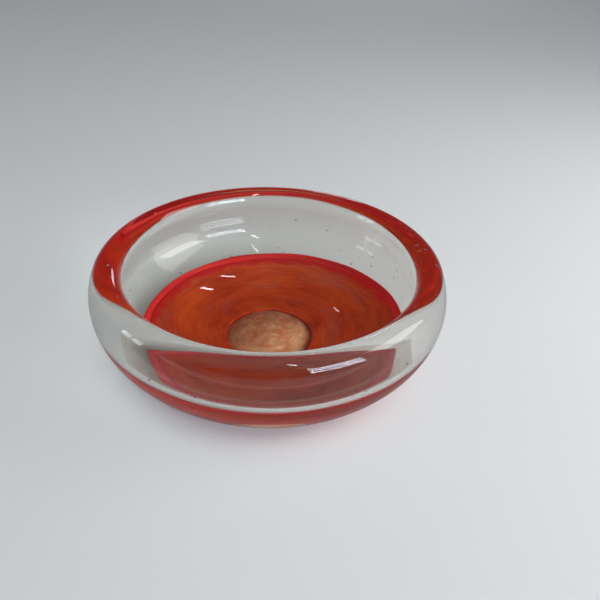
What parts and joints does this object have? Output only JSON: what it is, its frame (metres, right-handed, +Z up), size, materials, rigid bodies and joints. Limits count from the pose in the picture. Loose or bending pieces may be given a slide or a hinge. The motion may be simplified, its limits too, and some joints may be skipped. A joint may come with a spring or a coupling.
{
  "type": "art glass bowl",
  "caption": "Low round hand-blown bowl of thick clear glass with a turned-in rounded lip, a streaky orange floor cased in red underneath and a pale ground pontil disc.",
  "frame": {"origin": "middle of the foot, on the surface the bowl stands on", "axes": "+Z up out of the bowl's mouth; the bowl is round about Z, so X and Y are any two level directions"},
  "size_m": [0.17, 0.17, 0.0534],
  "materials": {
    "clear_crystal": "fire-polished clear glass with a faint grey cast and a few seeds",
    "orange_glass": "opaque streaky orange and brown colour glass, glossy",
    "red_glass": "dense bright red colour glass, glossy",
    "pontil_glass": "mottled tan and milky glass, ground and polished"
  },
  "bodies": {
    "root": {"clear_gather": "clear_crystal", "orange_colour_bed": "orange_glass", "red_casing": "red_glass", "pontil_disc": "pontil_glass"}
  },
  "joints": []
}
